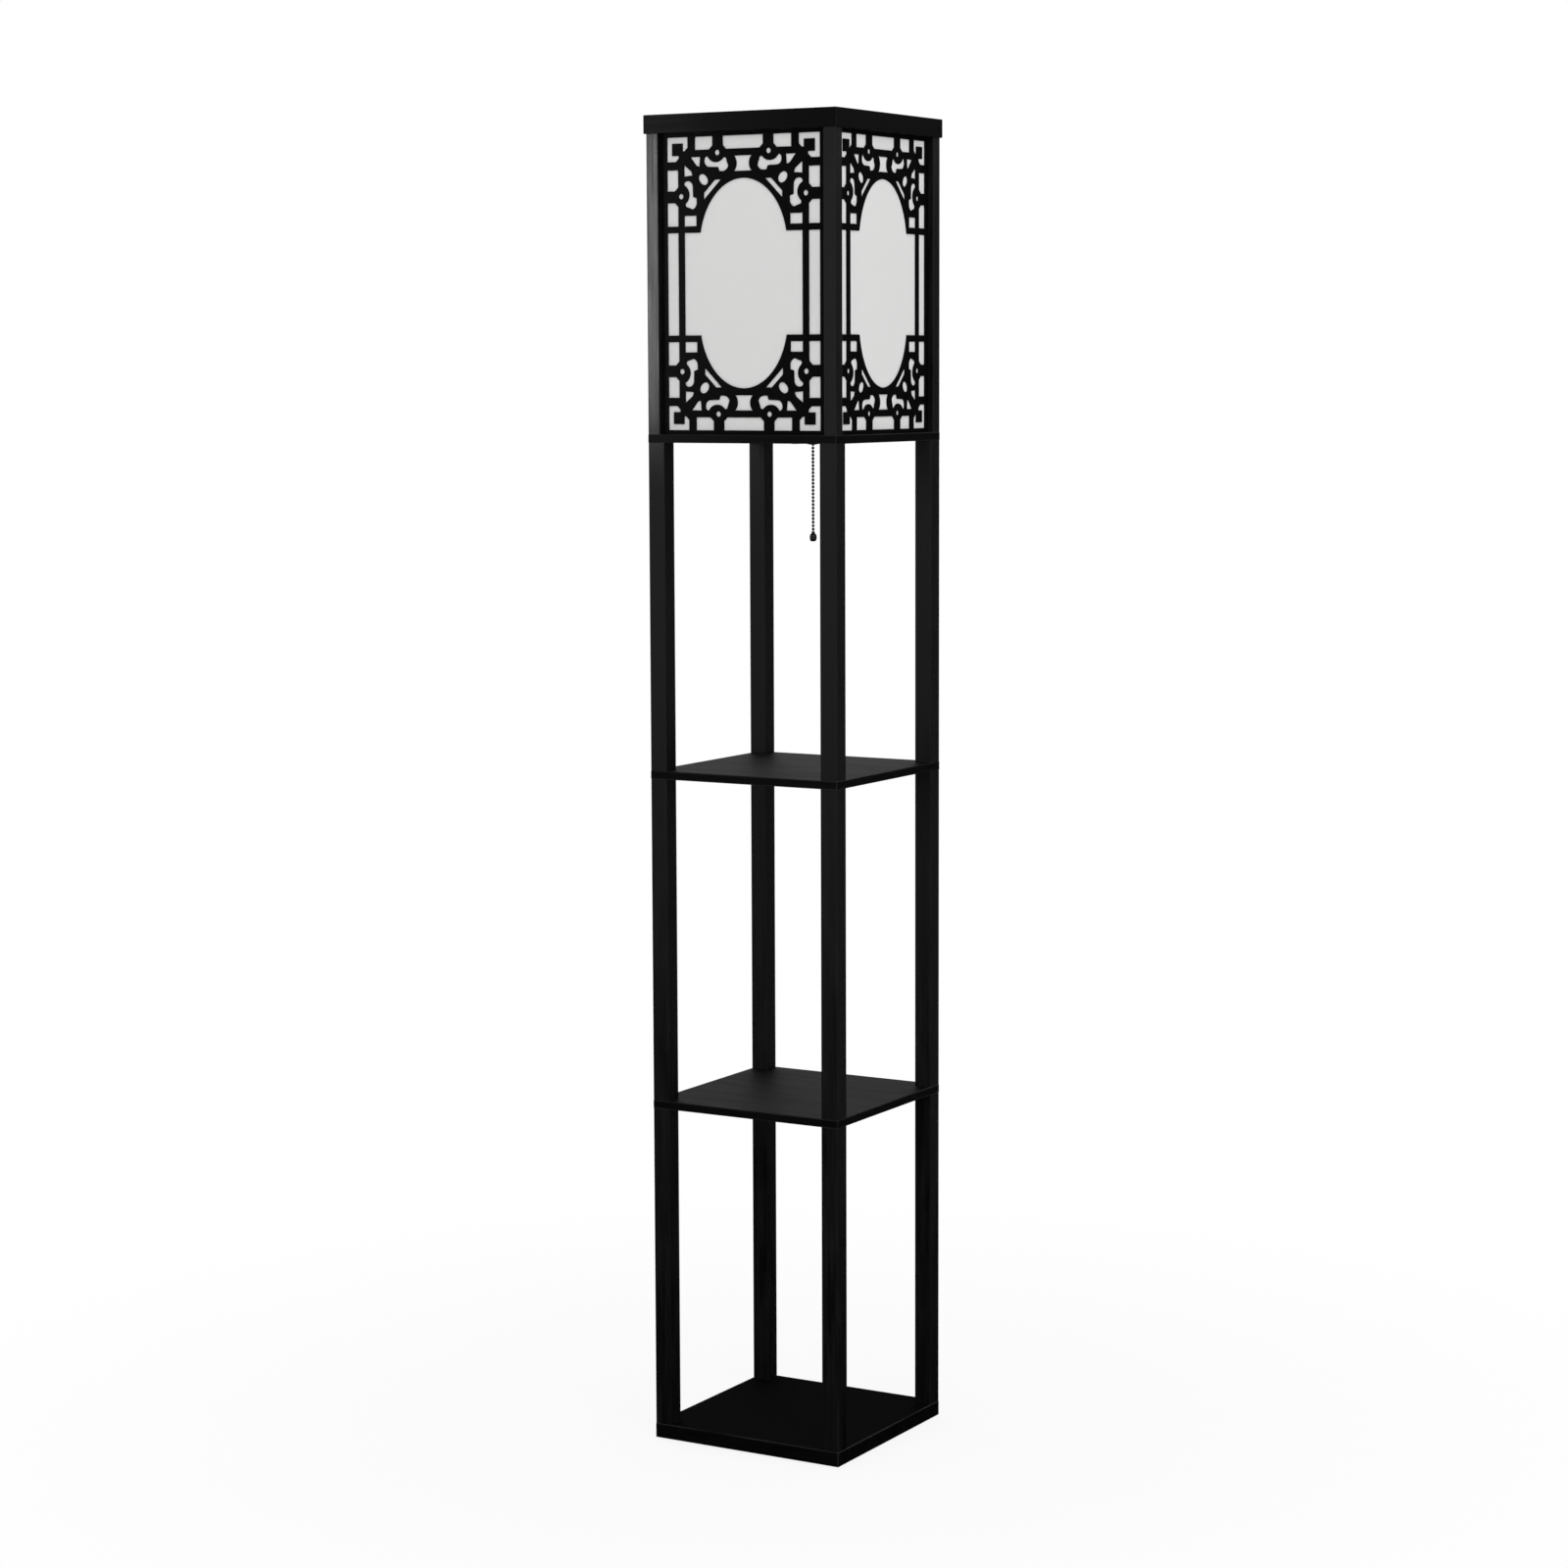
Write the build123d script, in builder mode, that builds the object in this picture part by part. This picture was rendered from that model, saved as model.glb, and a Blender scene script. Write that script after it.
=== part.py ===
from build123d import *
import os

# A shelf floor lamp in millimetres: front is -Y, right is +X, the floor is z = 0.

# Posts and boards
post_outer_width = 256.0
post_size = 22.0
lamp_post_size = 16.0
post_edge_radius = 0.8
tier_post_length = 392.0
lamp_post_length = 352.0
board_overhang = 0.25
board_edge_radius = 0.8
base_thickness = 18.0
shelf_thickness = 10.0
deck_thickness = 10.0
pad_thickness = 2.0
pad_radius = 10.0
pad_setback = 30.0

# Top frame
rail_height = 22.0
rail_width = 25.0
rail_overhang = 2.25
rail_edge_radius = 0.8
mitre_key_length = 18.0
mitre_key_width = 8.0
mitre_key_thickness = 2.4
mitre_key_setback = 19.0
mitre_key_clearance = 0.15

# Fretwork panels and the diffuser sheets behind them
panel_inset = 7.0
panel_thickness = 1.5
diffuser_thickness = 0.6
groove_depth = 3.5
groove_clearance = 0.3
panel_top_gap = 0.3
fret_side_border = 8.5
fret_end_border = 5.0

# The fretwork is drawn from its outer corner, on a square block that is half as wide as the fret
fret_block = 102.0
fret_lane = 15.0
fret_bar = 8.0
fret_rail = 7.5
key_reach = 28.0
key_hook = 16.0
key_strip = 7.0
key_chamfer = 4.0
lane_corner = 4.5
first_lane_start = 37.5
first_lane_end = 61.5
second_lane_start = 75.0
ball_place = 67.75
ball_depth = 3.75
ball_radius = 3.2
end_opening_half_width = 12.0
end_opening_depth = 17.5
side_opening_depth = 16.5
waist_narrowing = 3.5
egg_place = 49.0
egg_long_radius = 7.2
egg_short_radius = 5.4
slit_inner = 49.5
slit_outer = 72.5
slit_mouth = 8.2
wedge_place = 31.5
curl_grid = 1.0
arch_half_width = 59.0
arch_rise = 77.5
arch_spring = 126.0

# Fasteners
thread_clearance = 0.1
board_hole_clearance = 0.2
end_gap = 0.5
stud_radius = 3.0
stud_engagement = 13.5
bolt_head_radius = 6.0
bolt_head_recess = 0.3
bolt_socket_width = 4.0
bolt_socket_depth = 2.0
screw_radius = 1.75
screw_head_radius = 3.4
screw_engagement = 17.0
screw_across = 4.5
screw_wall = 1.5
countersink_angle = 90.0

# Lampholder, all heights above the deck
nipple_radius = 5.0
nipple_bore_radius = 3.5
nipple_rise = 13.0
nipple_drop = 3.0
nut_width = 14.0
nut_thickness = 2.5
holder_foot_radius = 21.0
holder_foot_height = 5.0
holder_waist_radius = 17.5
holder_waist_bottom = 8.0
holder_collar_radius = 20.0
holder_collar_height = 14.0
holder_collar_slope = 4.0
holder_cavity_floor = 16.0
holder_cavity_radius = 11.0
holder_ledge = 24.0
shell_radius = 14.1
shell_wall = 0.6
shell_hole_radius = 8.0
shell_setback = 4.0
shell_clearance = 0.4
contact_width = 5.0
contact_thickness = 0.8
contact_rise = 10.0
contact_margin = 1.0
lead_hole_drop = 9.0
lead_hole_depth = 4.0

# Bulb
bulb_clearance = 0.3
bulb_button_radius = 4.8
bulb_button_height = 1.2
bulb_insulator_height = 3.5
bulb_insulator_rim = 1.0
bulb_cap_radius = 13.1
bulb_cap_wall = 0.5
bulb_cap_height = 20.0
bulb_neck_gap = 1.0
bulb_housing_height = 39.0
bulb_housing_top_radius = 28.0
bulb_flare_dip = 1.5
bulb_globe_radius = 30.0
bulb_globe_wall = 1.2

# Pull switch, all heights above the deck
switch_x = 39.0
switch_y = -26.0
switch_body_radius = 12.0
switch_body_height = 26.0
switch_cavity_radius = 9.0
switch_floor = 3.0
switch_cover_thickness = 3.0
switch_cover_plug = 2.0
neck_radius = 5.0
neck_bore_radius = 2.2
neck_flange_radius = 7.5
neck_flange_thickness = 1.2
neck_drop = 3.0
switch_nut_thickness = 2.5
plunger_thickness = 3.0
plunger_spigot_radius = 3.0
plunger_spigot_length = 2.0
running_clearance = 0.3
spring_radius = 6.0
spring_wire_radius = 0.45
spring_wire_sides = 6
spring_turns = 4.5

# Bead chain and knob
bead_radius = 1.8
bead_pitch = 4.2
wire_radius = 0.45
upper_bead_count = 8
lower_bead_count = 23
swivel_gap = 0.3
knob_height = 12.0
knob_radius = 4.3
knob_neck_radius = 2.0
knob_neck_height = 2.5
knob_tip_radius = 2.2

# Lead from the switch to the lampholder
lead_radius = 1.2
lead_bend_radius = 8.0
lead_clearance = 0.25

# Grommet where the mains cord comes in
grommet_setback = 40.0
grommet_bore_radius = 3.25
grommet_neck_radius = 6.0
grommet_flange_radius = 9.0
grommet_flange_thickness = 1.5

# Heights of the levels, from the floor up
base_bottom = pad_thickness
base_top = base_bottom + base_thickness
lower_shelf_bottom = base_top + tier_post_length
lower_shelf_top = lower_shelf_bottom + shelf_thickness
upper_shelf_bottom = lower_shelf_top + tier_post_length
upper_shelf_top = upper_shelf_bottom + shelf_thickness
deck_bottom = upper_shelf_top + tier_post_length
deck_top = deck_bottom + deck_thickness
rail_bottom = deck_top + lamp_post_length
rail_top = rail_bottom + rail_height

# Places in plan
post_half = post_outer_width / 2
post_centre = post_half - post_size / 2
post_spacing = 2 * post_centre
lamp_post_inner = post_half - lamp_post_size
lamp_post_centre = post_half - lamp_post_size / 2
lamp_post_spacing = 2 * lamp_post_centre
board_width = post_outer_width + 2 * board_overhang
stud_hole_depth = stud_engagement + end_gap
grommet_x = grommet_setback - post_half
grommet_y = post_half - grommet_setback
corners = {"front_left": (-1, -1), "front_right": (1, -1), "back_right": (1, 1), "back_left": (-1, 1)}
sides = {"front": (0, -1), "right": (1, 0), "back": (0, 1), "left": (-1, 0)}

# Each top screw goes down one end of a rail, beside the mitre and clear of the panel grooves
screw_along = lamp_post_size - groove_depth - screw_wall - screw_radius
screw_x = post_half - screw_along
screw_y = post_half - screw_across
screw_points = [(screw_x, -screw_y), (screw_y, screw_x), (-screw_x, screw_y), (-screw_y, -screw_x)]

os.makedirs("parts", exist_ok=True)


def save(piece, name):
    piece.part.label = name
    export_step(piece.part, f"parts/{name}.step")


def side_plane(normal, distance, height):
    # A plane on one side of the lamp that faces outwards, with its own y upwards
    nx, ny = normal
    return Plane(origin=(nx * distance, ny * distance, height), x_dir=(-ny, nx, 0), z_dir=(nx, ny, 0))


def turned_plane(x, y):
    # An upright plane through a vertical axis, for profiles of radius and height
    return Plane(origin=(x, y, 0), x_dir=(1, 0, 0), z_dir=(0, -1, 0))


def turn(points, x=0.0, y=0.0):
    # Turns one profile of (radius, height) points about a vertical axis
    with BuildSketch(turned_plane(x, y)) as profile:
        with BuildLine():
            Polyline(*points, close=True)
        make_face()
    revolve(profile.sketch, axis=Axis((x, y, 0), (0, 0, 1)))


# Base board, on four pads
with BuildPart() as floor_pads:
    with BuildSketch(Plane.XY):
        with GridLocations(2 * (post_half - pad_setback), 2 * (post_half - pad_setback), 2, 2):
            Circle(pad_radius)
    extrude(amount=pad_thickness)
save(floor_pads, "floor_pads")

with BuildPart() as base_board:
    with BuildSketch(Plane.XY.offset(base_bottom)):
        Rectangle(board_width, board_width)
    extrude(amount=base_thickness)
    fillet(base_board.edges(), radius=board_edge_radius)
    with Locations(Plane.XY.offset(base_bottom).rotated((180, 0, 0))):
        with GridLocations(post_spacing, post_spacing, 2, 2):
            CounterSinkHole(
                radius=stud_radius + board_hole_clearance,
                counter_sink_radius=bolt_head_radius + board_hole_clearance + bolt_head_recess,
                counter_sink_angle=countersink_angle,
            )
save(base_board, "base_board")


# Shelves, with a hole for the stud under each post
def make_shelf(name, bottom):
    with BuildPart() as shelf:
        with BuildSketch(Plane.XY.offset(bottom)):
            Rectangle(board_width, board_width)
        extrude(amount=shelf_thickness)
        fillet(shelf.edges(), radius=board_edge_radius)
        with Locations(Plane.XY.offset(bottom + shelf_thickness)):
            with GridLocations(post_spacing, post_spacing, 2, 2):
                Hole(radius=stud_radius + board_hole_clearance)
    save(shelf, name)


make_shelf("lower_shelf", lower_shelf_bottom)
make_shelf("upper_shelf", upper_shelf_bottom)

# Deck of the lamp head, with holes for the lampholder, the pull switch and the grommet
with BuildPart() as lamp_deck:
    with BuildSketch(Plane.XY.offset(deck_bottom)):
        Rectangle(board_width, board_width)
    extrude(amount=deck_thickness)
    fillet(lamp_deck.edges(), radius=board_edge_radius)
    with Locations(Plane.XY.offset(deck_top)):
        with GridLocations(lamp_post_spacing, lamp_post_spacing, 2, 2):
            Hole(radius=stud_radius + board_hole_clearance)
        Hole(radius=nipple_radius + board_hole_clearance)
        with Locations((switch_x, switch_y)):
            Hole(radius=neck_radius + board_hole_clearance)
        with Locations((grommet_x, grommet_y)):
            Hole(radius=grommet_neck_radius + thread_clearance)
save(lamp_deck, "lamp_deck")


# Posts of the three open tiers, each with a stud hole at its foot and one at its top
def make_tier_post(name, corner, bottom, top_stud):
    with BuildPart() as post:
        with BuildSketch(Plane.XY.offset(bottom)):
            with Locations((corner[0] * post_centre, corner[1] * post_centre)):
                RectangleRounded(post_size, post_size, post_edge_radius)
        extrude(amount=tier_post_length)
        with Locations((corner[0] * top_stud, corner[1] * top_stud, bottom + tier_post_length)):
            Hole(radius=stud_radius + thread_clearance, depth=stud_hole_depth)
        with Locations((corner[0] * post_centre, corner[1] * post_centre, bottom + stud_hole_depth)):
            Hole(radius=stud_radius + thread_clearance, depth=stud_hole_depth)
    save(post, name)


for corner_name, corner_signs in corners.items():
    make_tier_post(f"lower_post_{corner_name}", corner_signs, base_top, post_centre)
    make_tier_post(f"middle_post_{corner_name}", corner_signs, lower_shelf_top, post_centre)
    make_tier_post(f"upper_post_{corner_name}", corner_signs, upper_shelf_top, lamp_post_centre)

# Posts of the lamp head, slimmer, with a groove for each of the two panels that meet there
groove_width = panel_thickness + diffuser_thickness + groove_clearance
groove_middle = post_half - panel_inset + groove_clearance / 2 - groove_width / 2


def make_lamp_post(name, corner):
    sx, sy = corner
    with BuildPart() as post:
        with BuildSketch(Plane.XY.offset(deck_top)):
            with Locations((sx * lamp_post_centre, sy * lamp_post_centre)):
                RectangleRounded(lamp_post_size, lamp_post_size, post_edge_radius)
            with Locations((sx * lamp_post_inner, sy * groove_middle)):
                Rectangle(2 * groove_depth, groove_width, mode=Mode.SUBTRACT)
            with Locations((sx * groove_middle, sy * lamp_post_inner)):
                Rectangle(groove_width, 2 * groove_depth, mode=Mode.SUBTRACT)
        extrude(amount=lamp_post_length)
        with Locations((sx * lamp_post_centre, sy * lamp_post_centre, deck_top + stud_hole_depth)):
            Hole(radius=stud_radius + thread_clearance, depth=stud_hole_depth)
        with Locations(Plane.XY.offset(rail_bottom)):
            with Locations(*screw_points):
                Hole(radius=screw_radius + thread_clearance, depth=screw_engagement + end_gap)
    save(post, name)


for corner_name, corner_signs in corners.items():
    make_lamp_post(f"lamp_post_{corner_name}", corner_signs)

# Outline shared by the fretwork panels and the diffusers: from groove to groove, and deck to rails
panel_width = 2 * (lamp_post_inner + groove_depth - groove_clearance)
panel_height = lamp_post_length - panel_top_gap
panel_middle = deck_top + panel_height / 2
fret_half_width = lamp_post_inner - fret_side_border
fret_half_height = lamp_post_length / 2 - fret_end_border
fret_scale = fret_half_width / fret_block
fret_middle = lamp_post_length / 2 - panel_height / 2


def fret_points(pairs, swapped):
    # Places (across, down) from the fret's upper right corner, mirrored in its diagonal when swapped
    places = []
    for across, down in pairs:
        a, b = (down, across) if swapped else (across, down)
        places.append((fret_half_width - a * fret_scale, fret_half_height - b * fret_scale))
    return places


def fret_outline(pairs, swapped=False):
    with BuildLine() as outline:
        Polyline(*fret_points(pairs, swapped), close=True)
    make_face(outline.edges())


def fret_lane_openings(swapped):
    # Two openings along the edge, with a cut corner on each side of the ball
    cut = lane_corner
    fret_outline(
        [
            (first_lane_start, 0),
            (first_lane_end, 0),
            (first_lane_end, fret_lane - cut),
            (first_lane_end - cut, fret_lane),
            (first_lane_start, fret_lane),
        ],
        swapped,
    )
    fret_outline(
        [
            (fret_block, 0),
            (second_lane_start, 0),
            (second_lane_start, fret_lane - cut),
            (second_lane_start + cut, fret_lane),
            (fret_block, fret_lane),
        ],
        swapped,
    )


def fret_ball(swapped):
    with Locations(*fret_points([(ball_place, fret_lane + ball_depth)], swapped)):
        Circle(ball_radius * fret_scale)


def fret_bone(swapped):
    # A curled opening that bends round the ball: grid places (towards the corner, inwards) from the ball
    def place(*pairs):
        steps = [(ball_place - s * curl_grid, fret_lane + d * curl_grid) for s, d in pairs]
        return fret_points(steps, swapped)

    with BuildLine() as outline:
        Polyline(*place((11, 19.8), (-0.8, 20.2), (-2.5, 25), (-8, 25)))
        ThreePointArc(*place((-8, 25), (-13, 22.7), (-15, 19)))
        Line(*place((-15, 19), (-12.6, 12.5)))
        ThreePointArc(*place((-12.6, 12.5), (-10.8, 9.6), (-7.8, 10.1)))
        ThreePointArc(*place((-7.8, 10.1), (1.8, 14.6), (12.8, 7.8)))
        ThreePointArc(*place((12.8, 7.8), (16.2, 8.8), (17.4, 12)))
        ThreePointArc(*place((17.4, 12), (15.8, 17.6), (11, 19.8)))
    make_face(outline.edges())


def fret_wedge(swapped):
    # A small opening between the key and the curl, in grid places from its own corner
    corner = fret_lane + fret_bar
    steps = [(0, 0), (13.5, 0), (12.5, 11.5), (8, 10)]
    fret_outline([(wedge_place + a * curl_grid, corner + b * curl_grid) for a, b in steps], swapped)


# One quarter of the fretwork's openings, mirrored into four, with the arched window in the middle
with BuildSketch() as fret_openings:
    for half in (False, True):
        fret_lane_openings(half)
        fret_ball(half)
        fret_bone(half)
        fret_wedge(half)
    fret_outline(
        [
            (0, 0),
            (key_reach, 0),
            (key_reach, key_hook - key_chamfer),
            (key_reach - key_chamfer, key_hook),
            (key_reach - key_strip, key_hook),
            (key_reach - key_strip, key_strip),
            (key_strip, key_strip),
            (key_strip, key_reach - key_strip),
            (key_hook, key_reach - key_strip),
            (key_hook, key_reach - key_chamfer),
            (key_hook - key_chamfer, key_reach),
            (0, key_reach),
        ]
    )
    fret_outline(
        [
            (slit_outer, slit_inner),
            (slit_outer - slit_mouth, slit_inner),
            (slit_inner, slit_outer - slit_mouth),
            (slit_inner, slit_outer),
        ]
    )
    with Locations(*fret_points([(egg_place, egg_place)], False)):
        Ellipse(egg_long_radius * fret_scale, egg_short_radius * fret_scale, rotation=45)
    end_start = fret_block - end_opening_half_width
    end_near = fret_lane + fret_bar
    end_far = end_near + end_opening_depth
    side_far = end_near + side_opening_depth
    fret_outline([(end_near, end_start), (side_far, end_start), (side_far, fret_block), (end_near, fret_block)])
    waist = (end_start + waist_narrowing, (end_near + end_far) / 2)
    with BuildLine():
        ThreePointArc(*fret_points([(end_start, end_near), waist, (end_start, end_far)], False))
        ends = [(end_start, end_far), (fret_block, end_far), (fret_block, end_near), (end_start, end_near)]
        Polyline(*fret_points(ends, False))
    make_face()
    mirror(about=Plane.YZ)
    mirror(about=Plane.XZ)
    window_half_height = fret_half_height - (fret_block + fret_rail) * fret_scale
    window_half_width = fret_half_width - (fret_lane + fret_bar) * fret_scale
    Rectangle(2 * window_half_width, 2 * window_half_height)
    strip_middle = fret_half_width - fret_lane * fret_scale / 2
    with GridLocations(2 * strip_middle, 1, 2, 1):
        Rectangle(fret_lane * fret_scale, 2 * window_half_height)
    with GridLocations(1, 2 * (fret_half_height - arch_spring * fret_scale), 1, 2):
        Ellipse(arch_half_width * fret_scale, arch_rise * fret_scale)


# Fretwork panels and diffusers, one of each on every side
def make_panel(name, normal):
    with BuildPart() as panel:
        with BuildSketch(side_plane(normal, post_half - panel_inset, panel_middle)):
            Rectangle(panel_width, panel_height)
            with Locations((0, fret_middle)):
                add(fret_openings.sketch, mode=Mode.SUBTRACT)
        extrude(amount=-panel_thickness)
    save(panel, name)


def make_diffuser(name, normal):
    with BuildPart() as diffuser:
        with BuildSketch(side_plane(normal, post_half - panel_inset - panel_thickness, panel_middle)):
            Rectangle(panel_width, panel_height)
        extrude(amount=-diffuser_thickness)
    save(diffuser, name)


for side_name, side_normal in sides.items():
    make_panel(f"fret_panel_{side_name}", side_normal)
    make_diffuser(f"diffuser_{side_name}", side_normal)

# Top frame: four rails mitred at the corners, each keyed to its neighbours
rail_outer = post_half + rail_overhang
rail_inner = rail_outer - rail_width
mitre_key_centre = rail_outer - mitre_key_setback
mitre_key_height = rail_bottom + rail_height / 2


def mitre_key_places():
    turns = [45, 135, 225, 315]
    signs = [(1, 1), (-1, 1), (-1, -1), (1, -1)]
    places = []
    for angle, (sx, sy) in zip(turns, signs):
        point = (sx * mitre_key_centre, sy * mitre_key_centre, mitre_key_height)
        places.append(Location(point, (0, 0, angle)))
    return places


def make_rail(name, normal):
    nx, ny = normal
    with BuildPart() as rail:
        with BuildSketch(Plane(origin=(0, 0, rail_bottom), x_dir=(-ny, nx, 0), z_dir=(0, 0, 1))):
            with BuildLine():
                Polyline(
                    (-rail_outer, -rail_outer),
                    (rail_outer, -rail_outer),
                    (rail_inner, -rail_inner),
                    (-rail_inner, -rail_inner),
                    close=True,
                )
            make_face()
        extrude(amount=rail_height)
        along = Axis((0, 0, 0), (-ny, nx, 0))
        fillet(rail.edges().filter_by(along), radius=rail_edge_radius)
        with Locations(*mitre_key_places()):
            Box(
                mitre_key_width + 2 * mitre_key_clearance,
                mitre_key_length + 2 * mitre_key_clearance,
                mitre_key_thickness + 2 * mitre_key_clearance,
                mode=Mode.SUBTRACT,
            )
        with Locations(Plane.XY.offset(rail_top)):
            with Locations(*screw_points):
                CounterSinkHole(
                    radius=screw_radius + board_hole_clearance,
                    counter_sink_radius=screw_head_radius + board_hole_clearance + bolt_head_recess,
                    depth=rail_height,
                    counter_sink_angle=countersink_angle,
                )
    save(rail, name)


for side_name, side_normal in sides.items():
    make_rail(f"top_rail_{side_name}", side_normal)

with BuildPart() as mitre_keys:
    with Locations(*mitre_key_places()):
        Box(mitre_key_width, mitre_key_length, mitre_key_thickness)
save(mitre_keys, "mitre_keys")

# Bolts up through the base, studs through the boards, screws down through the top frame
with BuildPart() as base_bolt:
    bolt_bottom = base_bottom + bolt_head_recess
    turn(
        [
            (0, bolt_bottom),
            (bolt_head_radius, bolt_bottom),
            (stud_radius, bolt_bottom + bolt_head_radius - stud_radius),
            (stud_radius, base_top + stud_engagement),
            (0, base_top + stud_engagement),
        ]
    )
    with BuildSketch(Plane.XY.offset(bolt_bottom)):
        RegularPolygon(bolt_socket_width / 2, 6, major_radius=False)
    extrude(amount=bolt_socket_depth, mode=Mode.SUBTRACT)

with BuildPart() as base_bolts:
    with GridLocations(post_spacing, post_spacing, 2, 2):
        add(base_bolt.part)
save(base_bolts, "base_bolts")

with BuildPart() as tier_studs:
    for bottom, thickness, spacing in [
        (lower_shelf_bottom, shelf_thickness, post_spacing),
        (upper_shelf_bottom, shelf_thickness, post_spacing),
        (deck_bottom, deck_thickness, lamp_post_spacing),
    ]:
        with BuildSketch(Plane.XY.offset(bottom - stud_engagement)):
            with GridLocations(spacing, spacing, 2, 2):
                Circle(stud_radius)
        extrude(amount=thickness + 2 * stud_engagement)
save(tier_studs, "tier_studs")

with BuildPart() as top_screw:
    screw_top = rail_top - bolt_head_recess
    turn(
        [
            (0, screw_top),
            (screw_head_radius, screw_top),
            (screw_radius, screw_top - screw_head_radius + screw_radius),
            (screw_radius, rail_bottom - screw_engagement + screw_radius),
            (0, rail_bottom - screw_engagement),
        ]
    )

with BuildPart() as top_screws:
    with Locations(*screw_points):
        add(top_screw.part)
save(top_screws, "top_screws")

# Lampholder: a moulded body on a threaded nipple that is clamped through the deck
nipple_hole_radius = nipple_radius + thread_clearance
holder_bore_radius = shell_radius + shell_clearance
nipple_top = deck_top + nipple_rise
cavity_floor = deck_top + holder_cavity_floor
ledge = deck_top + holder_ledge
contact_top = cavity_floor + contact_rise

# The bulb is screwed down on the centre contact, and the holder ends just below its housing
button_bottom = contact_top + bulb_clearance
insulator_bottom = button_bottom + bulb_button_height
cap_bottom = insulator_bottom + bulb_insulator_height
cap_top = cap_bottom + bulb_cap_height
holder_top = cap_top - bulb_neck_gap
collar_bottom = holder_top - holder_collar_height

with BuildPart() as lampholder_nipple:
    with BuildSketch(Plane.XY.offset(deck_bottom - nipple_drop)):
        Circle(nipple_radius)
        Circle(nipple_bore_radius, mode=Mode.SUBTRACT)
    extrude(amount=nipple_drop + deck_thickness + nipple_rise)
save(lampholder_nipple, "lampholder_nipple")

with BuildPart() as lampholder_nut:
    with BuildSketch(Plane.XY.offset(deck_bottom - nut_thickness)):
        RegularPolygon(nut_width / 2, 6, major_radius=False)
        Circle(nipple_hole_radius, mode=Mode.SUBTRACT)
    extrude(amount=nut_thickness)
save(lampholder_nut, "lampholder_nut")

switch_distance = (switch_x**2 + switch_y**2) ** 0.5
to_holder = (-switch_x / switch_distance, -switch_y / switch_distance)
lead_height = holder_top - lead_hole_drop
lead_end_radius = holder_collar_radius - lead_hole_depth
lead_end = (-to_holder[0] * lead_end_radius, -to_holder[1] * lead_end_radius, lead_height)

with BuildPart() as lampholder_body:
    turn(
        [
            (nipple_hole_radius, deck_top),
            (holder_foot_radius, deck_top),
            (holder_foot_radius, deck_top + holder_foot_height),
            (holder_waist_radius, deck_top + holder_waist_bottom),
            (holder_waist_radius, collar_bottom - holder_collar_slope),
            (holder_collar_radius, collar_bottom),
            (holder_collar_radius, holder_top),
            (holder_bore_radius, holder_top),
            (holder_bore_radius, ledge),
            (holder_cavity_radius, ledge),
            (holder_cavity_radius, cavity_floor),
            (nipple_bore_radius, cavity_floor),
            (nipple_bore_radius, nipple_top + running_clearance),
            (nipple_hole_radius, nipple_top + running_clearance),
        ]
    )
    with BuildSketch(Plane(origin=lead_end, z_dir=(-to_holder[0], -to_holder[1], 0))):
        Circle(lead_radius + lead_clearance)
    extrude(amount=2 * lead_hole_depth, mode=Mode.SUBTRACT)
save(lampholder_body, "lampholder_body")

with BuildPart() as lampholder_screw_shell:
    turn(
        [
            (shell_hole_radius, ledge),
            (shell_radius, ledge),
            (shell_radius, holder_top - shell_setback),
            (shell_radius - shell_wall, holder_top - shell_setback),
            (shell_radius - shell_wall, ledge + shell_wall),
            (shell_hole_radius, ledge + shell_wall),
        ]
    )
save(lampholder_screw_shell, "lampholder_screw_shell")

# The centre contact is a bent strip that springs up under the bulb's button
contact_outer = holder_cavity_radius - contact_margin
contact_elbow = contact_rise / 2
with BuildPart() as lampholder_contact:
    with BuildSketch(Plane.XZ.offset(-contact_width / 2)):
        with BuildLine():
            strip = Polyline(
                (nipple_bore_radius + contact_margin, cavity_floor + contact_thickness / 2),
                (contact_outer, cavity_floor + contact_thickness / 2),
                (contact_outer, cavity_floor + contact_elbow),
                (bulb_button_radius / 2, contact_top - contact_thickness / 2),
                (-bulb_button_radius / 2, contact_top - contact_thickness / 2),
            )
            offset(strip, amount=contact_thickness / 2, side=Side.BOTH, kind=Kind.INTERSECTION)
        make_face()
    extrude(amount=contact_width)
save(lampholder_contact, "lampholder_contact")

# Bulb: button, insulator and screw cap, then the housing and the globe
cap_inner_radius = bulb_cap_radius - bulb_cap_wall
housing_top = cap_top + bulb_housing_height
globe_centre = housing_top + (bulb_globe_radius**2 - bulb_housing_top_radius**2) ** 0.5

with BuildPart() as bulb_contact:
    turn(
        [
            (0, button_bottom),
            (bulb_button_radius - bulb_button_height / 2, button_bottom),
            (bulb_button_radius, insulator_bottom),
            (0, insulator_bottom),
        ]
    )
save(bulb_contact, "bulb_contact")

with BuildPart() as bulb_insulator:
    turn(
        [
            (0, insulator_bottom),
            (bulb_button_radius + bulb_insulator_rim, insulator_bottom),
            (bulb_cap_radius - bulb_insulator_rim, cap_bottom),
            (0, cap_bottom),
        ]
    )
save(bulb_insulator, "bulb_insulator")

with BuildPart() as bulb_cap:
    turn(
        [
            (0, cap_bottom),
            (bulb_cap_radius, cap_bottom),
            (bulb_cap_radius, cap_top),
            (cap_inner_radius, cap_top),
            (cap_inner_radius, cap_bottom + bulb_cap_wall),
            (0, cap_bottom + bulb_cap_wall),
        ]
    )
save(bulb_cap, "bulb_cap")

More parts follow.
